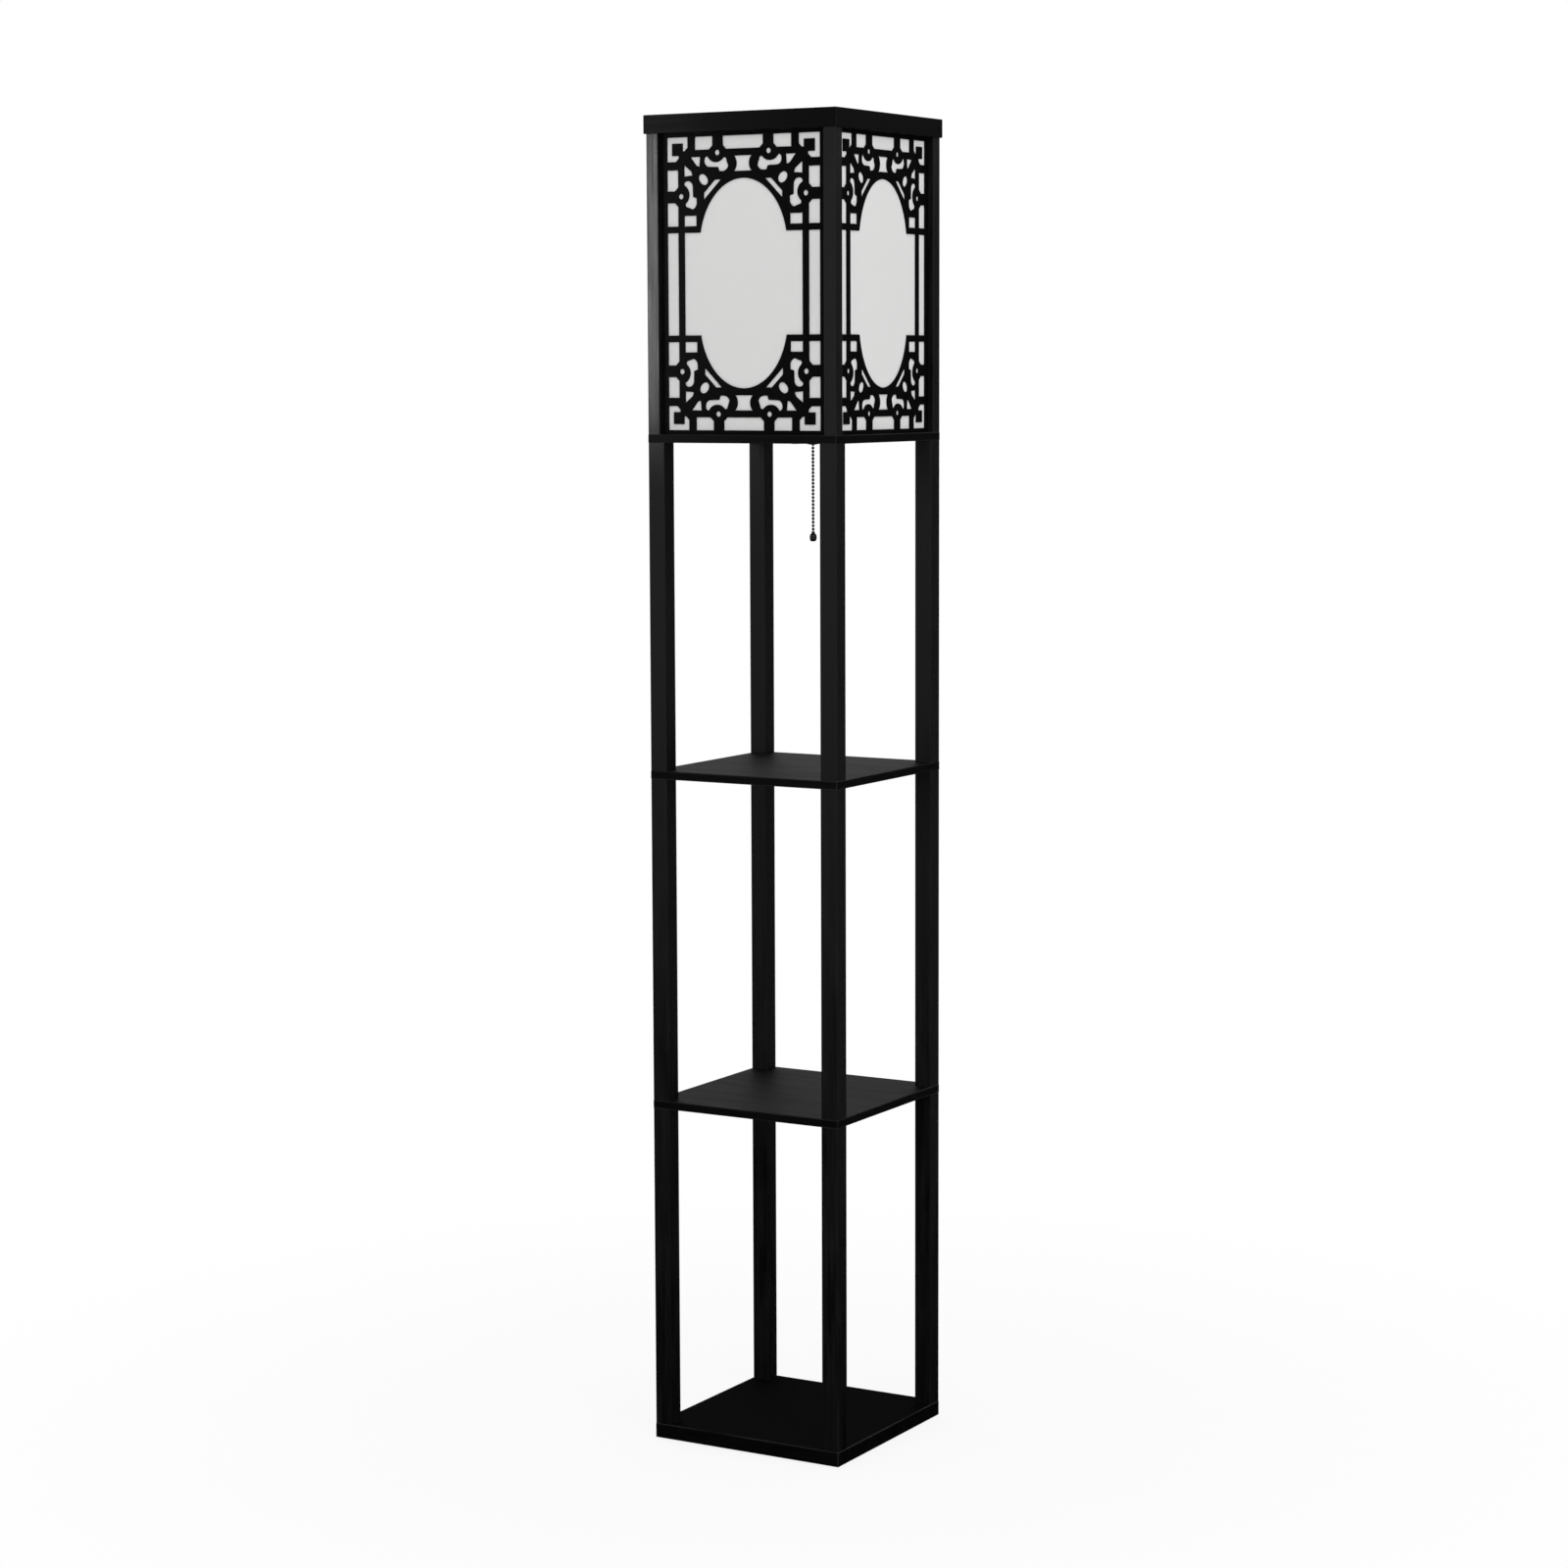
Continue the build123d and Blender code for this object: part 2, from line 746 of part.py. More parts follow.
# The housing flares from the cap to the globe, on a plug that stands inside the cap
with BuildPart() as bulb_housing:
    with BuildSketch(turned_plane(0, 0)):
        with BuildLine():
            plug_radius = cap_inner_radius - thread_clearance
            Polyline(
                (0, housing_top),
                (0, cap_bottom + bulb_cap_wall),
                (plug_radius, cap_bottom + bulb_cap_wall),
                (plug_radius, cap_top),
                (bulb_cap_radius, cap_top),
            )
            flare_radius = (bulb_cap_radius + bulb_housing_top_radius) / 2 - bulb_flare_dip
            flare_middle = (flare_radius, (cap_top + housing_top) / 2)
            ThreePointArc((bulb_cap_radius, cap_top), flare_middle, (bulb_housing_top_radius, housing_top))
            Line((bulb_housing_top_radius, housing_top), (0, housing_top))
        make_face()
    revolve(axis=Axis.Z)
save(bulb_housing, "bulb_housing")

with BuildPart() as bulb_globe:
    with Locations((0, 0, globe_centre)):
        Sphere(bulb_globe_radius)
        Sphere(bulb_globe_radius - bulb_globe_wall, mode=Mode.SUBTRACT)
    split(bisect_by=Plane.XY.offset(housing_top), keep=Keep.TOP)
save(bulb_globe, "bulb_globe")

# Pull switch: a round can on the deck, clamped by a threaded neck that the chain comes out of
cavity_bottom = deck_top + switch_floor
can_top = deck_top + switch_body_height
neck_bottom = deck_bottom - neck_drop
plug_bottom = can_top - switch_cover_plug
lead_hole_radius = lead_radius + lead_clearance

with BuildPart() as pull_switch_body:
    turn(
        [
            (neck_radius + thread_clearance, deck_top),
            (switch_body_radius, deck_top),
            (switch_body_radius, can_top),
            (switch_cavity_radius, can_top),
            (switch_cavity_radius, cavity_bottom),
            (neck_radius + thread_clearance, cavity_bottom),
        ],
        switch_x,
        switch_y,
    )
save(pull_switch_body, "pull_switch_body")

with BuildPart() as pull_switch_cover:
    turn(
        [
            (lead_hole_radius, plug_bottom),
            (switch_cavity_radius - thread_clearance, plug_bottom),
            (switch_cavity_radius - thread_clearance, can_top),
            (switch_body_radius, can_top),
            (switch_body_radius, can_top + switch_cover_thickness / 2),
            (switch_body_radius - switch_cover_thickness / 2, can_top + switch_cover_thickness),
            (lead_hole_radius, can_top + switch_cover_thickness),
        ],
        switch_x,
        switch_y,
    )
save(pull_switch_cover, "pull_switch_cover")

with BuildPart() as pull_switch_neck:
    turn(
        [
            (neck_bore_radius, neck_bottom),
            (neck_radius, neck_bottom),
            (neck_radius, cavity_bottom),
            (neck_flange_radius, cavity_bottom),
            (neck_flange_radius, cavity_bottom + neck_flange_thickness),
            (neck_bore_radius, cavity_bottom + neck_flange_thickness),
        ],
        switch_x,
        switch_y,
    )
save(pull_switch_neck, "pull_switch_neck")

with BuildPart() as pull_switch_nut:
    with BuildSketch(Plane.XY.offset(deck_bottom - switch_nut_thickness)):
        with Locations((switch_x, switch_y)):
            RegularPolygon(nut_width / 2, 6, major_radius=False)
            Circle(neck_radius + thread_clearance, mode=Mode.SUBTRACT)
    extrude(amount=switch_nut_thickness)
save(pull_switch_nut, "pull_switch_nut")

# The plunger hangs under the cover on its spring, and the chain hangs from the plunger
plunger_top = plug_bottom - running_clearance
plunger_bottom = plunger_top - plunger_thickness
spigot_bottom = plunger_bottom - plunger_spigot_length
with BuildPart() as pull_switch_plunger:
    turn(
        [
            (0, spigot_bottom),
            (plunger_spigot_radius, spigot_bottom),
            (plunger_spigot_radius, plunger_bottom),
            (switch_cavity_radius - running_clearance, plunger_bottom),
            (switch_cavity_radius - running_clearance, plunger_top),
            (0, plunger_top),
        ],
        switch_x,
        switch_y,
    )
save(pull_switch_plunger, "pull_switch_plunger")

spring_bottom = cavity_bottom + neck_flange_thickness + running_clearance + spring_wire_radius
spring_height = plunger_bottom - running_clearance - spring_wire_radius - spring_bottom
with BuildPart() as pull_switch_spring:
    with BuildLine(Plane(origin=(switch_x, switch_y, spring_bottom))) as coil:
        Helix(pitch=spring_height / spring_turns, height=spring_height, radius=spring_radius)
    with BuildSketch(Plane(origin=coil.line @ 0, z_dir=coil.line % 0)):
        RegularPolygon(spring_wire_radius, spring_wire_sides)
    sweep(is_frenet=True)
save(pull_switch_spring, "pull_switch_spring")


# Round beads on a wire
def make_chain(name, wire_top, wire_bottom, bead_heights):
    with BuildPart() as chain:
        with BuildSketch(Plane.XY.offset(wire_bottom)):
            with Locations((switch_x, switch_y)):
                Circle(wire_radius)
        extrude(amount=wire_top - wire_bottom)
        with Locations(*[(switch_x, switch_y, height) for height in bead_heights]):
            Sphere(bead_radius)
    save(chain, name)


# The chain bends freely at one bead just below the neck
swivel = spigot_bottom - (upper_bead_count + 0.5) * bead_pitch
upper_beads = [swivel + bead_pitch * (place + 1) for place in range(upper_bead_count)]
lower_beads = [swivel - bead_pitch * (place + 1) for place in range(lower_bead_count)]
knob_top = lower_beads[-1] - bead_pitch + bead_radius
make_chain("pull_chain_upper", spigot_bottom, swivel + bead_radius + swivel_gap, upper_beads)
make_chain("pull_chain_lower", swivel - bead_radius - swivel_gap, knob_top, lower_beads)

with BuildPart() as pull_chain_swivel:
    with Locations((switch_x, switch_y, swivel)):
        Sphere(bead_radius)
save(pull_chain_swivel, "pull_chain_swivel")

# The knob is a small egg, flat at its foot, on a neck that takes the end of the chain
knob_bottom = knob_top - knob_height
shoulder = knob_top - knob_neck_height
belly = (shoulder + knob_bottom) / 2
with BuildPart() as pull_knob:
    with BuildSketch(turned_plane(switch_x, switch_y)):
        with BuildLine():
            Polyline((0, knob_bottom), (0, knob_top), (knob_neck_radius, knob_top), (knob_neck_radius, shoulder))
            EllipticalCenterArc(
                (knob_neck_radius, belly), knob_radius - knob_neck_radius, shoulder - belly, 0, arc_size=90
            )
            EllipticalCenterArc(
                (knob_tip_radius, belly), knob_radius - knob_tip_radius, belly - knob_bottom, 270, arc_size=90
            )
            Line((knob_tip_radius, knob_bottom), (0, knob_bottom))
        make_face()
    revolve(axis=Axis((switch_x, switch_y, 0), (0, 0, 1)))
save(pull_knob, "pull_knob")

# Lead out of the switch's cover, over to the side of the lampholder
lead_start = (switch_x, switch_y, plug_bottom + end_gap)
lead_bend_start = (switch_x, switch_y, lead_height - lead_bend_radius)
lead_bend_end = (
    switch_x + to_holder[0] * lead_bend_radius,
    switch_y + to_holder[1] * lead_bend_radius,
    lead_height,
)
with BuildPart() as switch_lead:
    with BuildLine():
        Line(lead_start, lead_bend_start)
        TangentArc(lead_bend_start, lead_bend_end, tangent=(0, 0, 1))
        lead_stop = (lead_end[0] - to_holder[0] * end_gap, lead_end[1] - to_holder[1] * end_gap, lead_height)
        Line(lead_bend_end, lead_stop)
    with BuildSketch(Plane.XY.offset(lead_start[2])):
        with Locations((switch_x, switch_y)):
            Circle(lead_radius)
    sweep()
save(switch_lead, "switch_lead")

# Grommet through the deck, a soft bush with a flange on each face
flange_bottom = deck_bottom - grommet_flange_thickness
flange_top = deck_top + grommet_flange_thickness
with BuildPart() as cord_grommet:
    turn(
        [
            (grommet_bore_radius, flange_bottom),
            (grommet_flange_radius, flange_bottom),
            (grommet_flange_radius, deck_bottom),
            (grommet_neck_radius, deck_bottom),
            (grommet_neck_radius, deck_top),
            (grommet_flange_radius, deck_top),
            (grommet_flange_radius, flange_top),
            (grommet_bore_radius, flange_top),
        ],
        grommet_x,
        grommet_y,
    )
save(cord_grommet, "cord_grommet")
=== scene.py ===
import math

import bmesh
import bpy
from mathutils import Matrix, Vector, noise as lattice


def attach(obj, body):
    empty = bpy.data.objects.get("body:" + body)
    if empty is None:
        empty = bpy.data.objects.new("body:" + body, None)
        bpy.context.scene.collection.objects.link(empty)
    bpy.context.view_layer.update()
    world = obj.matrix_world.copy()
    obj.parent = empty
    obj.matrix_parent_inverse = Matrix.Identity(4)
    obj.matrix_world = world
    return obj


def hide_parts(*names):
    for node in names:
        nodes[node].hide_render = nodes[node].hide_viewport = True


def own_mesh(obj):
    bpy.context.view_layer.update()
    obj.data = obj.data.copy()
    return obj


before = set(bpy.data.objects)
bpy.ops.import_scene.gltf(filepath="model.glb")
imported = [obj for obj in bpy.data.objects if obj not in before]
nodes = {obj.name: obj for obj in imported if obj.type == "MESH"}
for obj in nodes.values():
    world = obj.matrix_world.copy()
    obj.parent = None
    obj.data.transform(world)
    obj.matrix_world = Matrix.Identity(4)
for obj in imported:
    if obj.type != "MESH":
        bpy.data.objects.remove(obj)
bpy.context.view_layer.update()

# Metres and degrees. Front is -Y, right is +X, and the lamp stands on z = 0.
MM = 0.001

# Camera, at the photograph's viewing angle
CAMERA_PLACE = (2.203, -3.809, 1.299)
CAMERA_TURN = 30.244
CAMERA_TILT = 6.446
CAMERA_ROLL = -0.219
CAMERA_LENS = 83.73
SENSOR_WIDTH = 36.0

# Light and background
WHITE = (1.0, 1.0, 1.0, 1.0)
AMBIENT = (0.70, 0.70, 0.70, 1.0)
KEY_PLACE = (2.1, -2.05, 2.5)
KEY_AIM = (0.0, 0.0, 1.2)
KEY_SIZE = (1.4, 1.4)
KEY_POWER = 32.0
SHEEN_PLACE = (-0.225, -0.300, 1.425)
SHEEN_AIM = (-0.119, -0.128, 1.425)
SHEEN_SIZE = (0.033, 0.36)
SHEEN_POWER = 0.33
SHEEN_SPREAD = 70.0
BLACK_CARD = 0.002
GREY_CARD = 0.18
FLAGS = {
    "flag_side": ((0.65, 1.0, 0.9), (1.8, 1.8), GREY_CARD),
    "flag_front": ((-0.72, -1.13, 0.28), (1.6, 0.56), BLACK_CARD),
    "flag_back": ((-0.75, 1.30, 0.25), (1.6, 0.50), BLACK_CARD),
}
FLOOR_FLAG_RADIUS = 2.5
FLOOR_FLAG_HEIGHT = 1.0 * MM
FLOOR_RADIUS = 7.0
FLOOR_SEGMENTS = 96
FLOOR_COLOUR = (0.90, 0.90, 0.90, 1.0)
FLOOR_NEAR = 0.25
FLOOR_FAR = 1.30
FLOOR_NEAR_WHITE = 0.87

# Black paint: features to the metre across and along the grain, and the ranges that they fill
GRAIN_STREAKS = (330.0, 9.0)
GRAIN_PORES = (1320.0, 45.0)
GRAIN_FLECKS = (110.0, 12.0)
GRAIN_DEPTH = 0.05 * MM
STREAK_DEPTH = 0.6
FIGURE_RANGE = (0.38, 0.62)
PAINT_GREY = 0.0022
# Edges: a grey line in cloudy patches, partly rubbed wear and partly a painted highlight
WEAR_CLOUDS = 7.0
WEAR_CLOUD_RANGE = (0.35, 0.65)
LEAST_WEAR = 0.2
EDGE_RANGE = (0.75, 0.999)
SOFT_EDGE = 1.6 * MM
CRISP_EDGE = 0.9 * MM

# Places of the colour sockets on a mix node
MIX_FIRST = 6
MIX_SECOND = 7
MIX_RESULT = 2

# Shapes of the small pieces, in millimetres
SHARP_ANGLE = 40.0
THREAD_STEPS = 6
PAD_PLACE = 98.0
PAD_RADIUS = 10.0
PAD_THICKNESS = 2.0
PAD_ROUND = 0.7
PAD_ROWS = 8
PAD_SEGMENTS = 72
PAD_HAIR = 0.25
PAD_HAIR_SCALE = 1.7
SCREW_PLACE = (118.75, -123.5)
SCREW_TOP = 1599.7
SCREW_TIP = 1561.0
SCREW_THREAD_TOP = 1578.0
SCREW_RADIUS = 1.75
SCREW_HEAD_RADIUS = 3.4
SCREW_RIM = 0.15
SCREW_PITCH = 1.4
SCREW_DEPTH = 0.45
SCREW_SEGMENTS = 32
CROSS_ARM = 1.75
CROSS_HALF_WIDTH = 0.5
CROSS_DEPTH = 1.4
CROSS_FLOOR_ARM = 0.7
CROSS_FLOOR_HALF_WIDTH = 0.25
HOLDER_AXIS = (0.0, 0.0)
SWITCH_AXIS = (39.0, -26.0)
TUBE_RADIUS = 5.0
TUBE_BOTTOM = 1213.0
TUBE_PITCH = 1.0
TUBE_DEPTH = 0.5
TUBE_SEGMENTS = 48
NIPPLE_TOP = 1239.0
NIPPLE_BORE = 3.5
NECK_TOP = 1229.0
NECK_BORE = 2.2
NECK_FLANGE = 7.5
NECK_FLANGE_TOP = 1230.2
NUT_APOTHEM = 7.0
NUT_FACE_SETBACK = 0.15
NUT_CHAMFER = 0.6
NUT_BORE = 5.1
NUT_BOTTOM = 1213.5
NUT_TOP = 1216.0
NUT_SEGMENTS = 72
BULB_PITCH = 3.6
BULB_SEGMENTS = 64
CAP_RADIUS = 13.1
CAP_BORE = 12.6
CAP_FLOOR = 0.5
CAP_BOTTOM = 1257.0
CAP_TOP = 1277.0
CAP_PLAIN = 1.5
CAP_THREAD_DEPTH = 0.4
SHELL_RADIUS = 14.1
SHELL_INNER = 13.9
SHELL_HOLE = 8.0
SHELL_FLOOR = 0.6
SHELL_BOTTOM = 1250.0
SHELL_TOP = 1272.0
SHELL_PLAIN = 1.5
SHELL_THREAD_DEPTH = 0.4
SPRING_RADIUS = 6.0
SPRING_WIRE_RADIUS = 0.45
SPRING_BOTTOM = 1230.5
SPRING_TOP = 1246.4
SPRING_TURNS = 6
SPRING_STEPS = 36
SPRING_SIDES = 10


# Node trees

def start_material(name):
    """A new material with its node tree and its main shader."""
    material = bpy.data.materials.new(name)
    material.use_nodes = True
    tree = material.node_tree
    return material, tree, tree.nodes["Principled BSDF"]


def add_node(tree, kind, inputs=None, **settings):
    """A node with its settings, and with each input linked to a socket or set to a value."""
    node = tree.nodes.new(kind)
    for key, value in settings.items():
        setattr(node, key, value)
    for key, value in (inputs or {}).items():
        join(tree, value, node.inputs[key])
    return node


def join(tree, value, socket):
    """Links a socket to another, or sets it to a value."""
    if isinstance(value, bpy.types.NodeSocket):
        tree.links.new(value, socket)
    else:
        socket.default_value = value


def feed(tree, shader, **inputs):
    """Links or sets the shader's inputs, named with underscores for spaces."""
    for key, value in inputs.items():
        join(tree, value, shader.inputs[key.replace("_", " ")])


def stretched(tree, stretch):
    """The place on the piece, in metres, with each axis scaled."""
    place = add_node(tree, "ShaderNodeTexCoord")
    mapping = {"Vector": place.outputs["Object"], "Scale": stretch}
    return add_node(tree, "ShaderNodeMapping", mapping).outputs["Vector"]


def noise(tree, stretch, detail=4.0, roughness=0.55):
    """Cloudy noise with so many features to the metre along each axis."""
    inputs = {"Vector": stretched(tree, stretch), "Scale": 1.0}
    inputs |= {"Detail": detail, "Roughness": roughness}
    return add_node(tree, "ShaderNodeTexNoise", inputs).outputs["Fac"]


def even(features):
    """The same number of features along each axis."""
    return (features, features, features)


def spread(tree, value, low, high, start=0.3, stop=0.7):
    """The value's range from start to stop, mapped on low to high."""
    inputs = {"Value": value, "From Min": start, "From Max": stop, "To Min": low, "To Max": high}
    return add_node(tree, "ShaderNodeMapRange", inputs).outputs["Result"]


def tint(tree, factor, dark, light, start=0.3, stop=0.7):
    """A colour between dark and light."""
    ramp = add_node(tree, "ShaderNodeValToRGB", {"Fac": factor})
    for element, place, colour in zip(ramp.color_ramp.elements, (start, stop), (dark, light)):
        element.position = place
        element.color = (*colour, 1.0)
    return ramp.outputs["Color"]


def grey(level):
    """A colour without hue."""
    return (level, level, level)


def blend(tree, factor, first, second):
    """The first colour, giving way to the second as the factor rises."""
    inputs = {"Factor": factor, MIX_FIRST: first, MIX_SECOND: second}
    return add_node(tree, "ShaderNodeMix", inputs, data_type="RGBA").outputs[MIX_RESULT]


def combine(tree, operation, first, second):
    """Two values joined by one operation."""
    node = add_node(tree, "ShaderNodeMath", {0: first, 1: second}, operation=operation)
    return node.outputs["Value"]


def bump(tree, height, distance, strength=1.0):
    """A normal that is roughened by a height, in metres at full height."""
    inputs = {"Height": height, "Distance": distance, "Strength": strength}
    return add_node(tree, "ShaderNodeBump", inputs).outputs["Normal"]


def edge_mask(tree, radius):
    """0 on flat faces, rising to 1 along edges and corners."""
    rounded = add_node(tree, "ShaderNodeBevel", {"Radius": radius}, samples=4)
    unrounded = add_node(tree, "ShaderNodeNewGeometry")
    inputs = {0: rounded.outputs["Normal"], 1: unrounded.outputs["Normal"]}
    facing = add_node(tree, "ShaderNodeVectorMath", inputs, operation="DOT_PRODUCT")
    return spread(tree, facing.outputs["Value"], 1.0, 0.0, *EDGE_RANGE)


# Materials

def black_wood(name, along_axis, contrast, specular, roughness, edge, edge_wear_and_highlight_grey):
    """Satin black paint on wood, with its grain along one axis; its grey edges are rubbed wear and a
    painted highlight.
    """
    material, tree, shader = start_material(name)

    def grain(across, along):
        stretch = [across] * 3
        stretch[along_axis] = along
        return stretch

    streaks = noise(tree, grain(*GRAIN_STREAKS), detail=6.0, roughness=0.6)
    pores = noise(tree, grain(*GRAIN_PORES), detail=3.0)
    flecks = noise(tree, grain(*GRAIN_FLECKS), detail=4.0)
    figure = combine(tree, "MULTIPLY", combine(tree, "ADD", streaks, flecks), 0.5)
    paint = tint(tree, figure, grey(PAINT_GREY - contrast), grey(PAINT_GREY + contrast), *FIGURE_RANGE)
    clouds = noise(tree, even(WEAR_CLOUDS), detail=2.0)
    patches = spread(tree, clouds, LEAST_WEAR, 1.0, *WEAR_CLOUD_RANGE)
    # Lighter grey along the edges, in cloudy patches: partly rubbed wear, partly a painted highlight.
    worn_and_highlit = combine(tree, "MULTIPLY", edge_mask(tree, edge), patches)
    height = combine(tree, "ADD", pores, combine(tree, "MULTIPLY", streaks, STREAK_DEPTH))
    feed(
        tree,
        shader,
        Base_Color=blend(tree, worn_and_highlit, paint, (*grey(edge_wear_and_highlight_grey), 1.0)),
        Roughness=spread(tree, figure, *roughness, *FIGURE_RANGE),
        Specular_IOR_Level=specular,
        Normal=bump(tree, height, GRAIN_DEPTH, strength=0.5),
    )
    return material


def fret_board():
    """Dull black paint on thin board."""
    material, tree, shader = start_material("fret_paint")
    mottle = noise(tree, even(60.0))
    fibres = noise(tree, even(900.0), detail=4.0)
    feed(
        tree,
        shader,
        Base_Color=tint(tree, mottle, (0.0016, 0.0016, 0.0017), (0.0030, 0.0030, 0.0031)),
        Roughness=spread(tree, fibres, 0.60, 0.78),
        Specular_IOR_Level=0.02,
        Normal=bump(tree, fibres, 0.03 * MM, strength=0.4),
    )
    return material


def diffuser_sheet():
    """Milky sheet with faint long fibres, which lets light through."""
    material, tree, shader = start_material("diffuser_film")
    level = noise(tree, (520.0, 520.0, 40.0), detail=3.0)
    upright = noise(tree, (60.0, 60.0, 700.0), detail=3.0)
    fibres = combine(tree, "ADD", level, upright)
    feed(
        tree,
        shader,
        Base_Color=tint(tree, fibres, (0.690, 0.688, 0.682), (0.740, 0.739, 0.735), 0.35, 0.65),
        Roughness=spread(tree, fibres, 0.70, 0.85, start=0.7, stop=1.3),
        Specular_IOR_Level=0.08,
        Subsurface_Weight=1.0,
        Subsurface_Radius=(1.0, 1.0, 1.0),
        Subsurface_Scale=0.8 * MM,
        Normal=bump(tree, fibres, 0.02 * MM, strength=0.3),
    )
    return material


def felt():
    """Dark felt."""
    material, tree, shader = start_material("pad_felt")
    fibres = noise(tree, even(1400.0), detail=5.0, roughness=0.7)
    feed(
        tree,
        shader,
        Base_Color=tint(tree, fibres, (0.018, 0.017, 0.016), (0.050, 0.048, 0.045)),
        Roughness=0.95,
        Specular_IOR_Level=0.1,
        Sheen_Weight=0.4,
        Normal=bump(tree, fibres, 0.25 * MM),
    )
    return material


def metal(name, dark, light, roughness):
    """Plain metal with fine scratches and dull patches."""
    material, tree, shader = start_material(name)
    patches = noise(tree, even(220.0), detail=3.0)
    scratches = noise(tree, (2500.0, 2500.0, 300.0), detail=2.0)
    feed(
        tree,
        shader,
        Base_Color=tint(tree, patches, dark, light),
        Metallic=1.0,
        Roughness=spread(tree, patches, *roughness),
        Normal=bump(tree, scratches, 0.01 * MM, strength=0.4),
    )
    return material


def plastic(name, dark, light, roughness, specular):
    """Moulded plastic, rubber or ceramic with a faint mottle."""
    material, tree, shader = start_material(name)
    mottle = noise(tree, even(160.0), detail=4.0)
    texture = noise(tree, even(2200.0), detail=2.0)
    feed(
        tree,
        shader,
        Base_Color=tint(tree, mottle, dark, light),
        Roughness=spread(tree, mottle, *roughness),
        Specular_IOR_Level=specular,
        Normal=bump(tree, texture, 0.01 * MM, strength=0.3),
    )
    return material


def plain_wood():
    """Bare pale wood."""
    material, tree, shader = start_material("bare_wood")
    grain = noise(tree, (300.0, 300.0, 900.0), detail=6.0)
    feed(
        tree,
        shader,
        Base_Color=tint(tree, grain, (0.36, 0.24, 0.13), (0.56, 0.41, 0.25)),
        Roughness=spread(tree, grain, 0.55, 0.75),
        Normal=bump(tree, grain, 0.06 * MM, strength=0.5),
    )
    return material


def frosted_globe():
    """Milky bulb glass that scatters light."""
    material, tree, shader = start_material("bulb_glass")
    mottle = noise(tree, even(90.0), detail=3.0)
    feed(
        tree,
        shader,
        Base_Color=tint(tree, mottle, (0.82, 0.82, 0.80), (0.86, 0.86, 0.85)),
        Roughness=spread(tree, mottle, 0.28, 0.36),
        Subsurface_Weight=1.0,
        Subsurface_Radius=(1.0, 0.95, 0.9),
        Subsurface_Scale=3.0 * MM,
        Normal=bump(tree, mottle, 0.02 * MM, strength=0.2),
    )
    return material


def upright_wood():
    """The paint of the posts, whose grain is upright."""
    return black_wood(
        "black_wood_upright",
        along_axis=2,
        contrast=0.0018,
        specular=0.18,
        roughness=(0.42, 0.58),
        edge=CRISP_EDGE,
        edge_wear_and_highlight_grey=0.018,
    )


def rail_wood(name, along_axis):
    """The paint of the top frame's rails."""
    return black_wood(
        name,
        along_axis,
        contrast=0.0010,
        specular=0.04,
        roughness=(0.50, 0.69),
        edge=CRISP_EDGE,
        edge_wear_and_highlight_grey=0.022,
    )


def board_wood(name, specular, roughness, edge_wear_and_highlight_grey):
    """The paint of a level board, whose grain runs from left to right."""
    return black_wood(
        name,
        along_axis=0,
        contrast=0.0010,
        specular=specular,
        roughness=roughness,
        edge=SOFT_EDGE,
        edge_wear_and_highlight_grey=edge_wear_and_highlight_grey,
    )


finishes = {
    "black_wood": upright_wood(),
    "fret_board": fret_board(),
    "diffuser_sheet": diffuser_sheet(),
    "felt": felt(),
    "zinc_steel": metal("zinc_plate", (0.46, 0.46, 0.45), (0.62, 0.62, 0.60), (0.28, 0.42)),
    "black_steel": metal("black_plate", (0.020, 0.020, 0.021), (0.034, 0.034, 0.035), (0.34, 0.48)),
    "plain_wood": plain_wood(),
    "holder_plastic": plastic("holder_moulding", grey(0.010), grey(0.016), (0.30, 0.42), 0.5),
    "brass": metal("brass_strip", (0.68, 0.46, 0.18), (0.80, 0.58, 0.27), (0.22, 0.34)),
    "bulb_frosted": frosted_globe(),
    "bulb_white": plastic(
        "bulb_housing_white", (0.74, 0.74, 0.73), (0.80, 0.80, 0.79), (0.35, 0.45), 0.5
    ),
    "bulb_metal": metal("bulb_nickel", (0.58, 0.57, 0.55), (0.70, 0.69, 0.67), (0.24, 0.36)),
    "bulb_black": plastic(
        "bulb_insulator_black", (0.008, 0.008, 0.009), (0.013, 0.013, 0.014), (0.16, 0.24), 0.5
    ),
    "chain_metal": metal("chain_gunmetal", (0.030, 0.030, 0.032), (0.060, 0.060, 0.063), (0.26, 0.38)),
    "knob_black": plastic("knob_gloss", grey(0.003), grey(0.005), (0.10, 0.18), 0.2),
    "lead_insulation": plastic("lead_sleeve", (0.56, 0.56, 0.54), (0.64, 0.64, 0.62), (0.38, 0.48), 0.4),
    "grommet_rubber": plastic("grommet_black", grey(0.014), grey(0.022), (0.60, 0.75), 0.3),
}
# The boards' and the base's grey edges are partly rubbed wear and partly a painted highlight.
wood_of_boards = board_wood("black_wood_boards", specular=0.04, roughness=(0.55, 0.64), edge_wear_and_highlight_grey=0.10)
# The base's copy has almost no gloss, so that the base renders darker: painted shade.
wood_of_base = board_wood("black_wood_base", specular=0.01, roughness=(0.70, 0.85), edge_wear_and_highlight_grey=0.16)
rails_along_x = rail_wood("black_wood_rails_x", along_axis=0)
rails_along_y = rail_wood("black_wood_rails_y", along_axis=1)


def finish_for(name, slot_name):
    """The material of a CAD node, with the wood's grain along the piece."""
    if name == "base_board":
        return wood_of_base
    if name.endswith(("_shelf", "_deck")):
        return wood_of_boards
    if name in ("top_rail_front", "top_rail_back"):
        return rails_along_x
    if name in ("top_rail_left", "top_rail_right"):
        return rails_along_y
    return finishes[slot_name]


# Pieces, in millimetres until they are linked

def link_mesh(name, builder):
    """Puts a bmesh into the scene as a named object."""
    mesh = bpy.data.meshes.new(name)
    builder.to_mesh(mesh)
    builder.free()
    made = bpy.data.objects.new(name, mesh)
    bpy.context.scene.collection.objects.link(made)
    return made


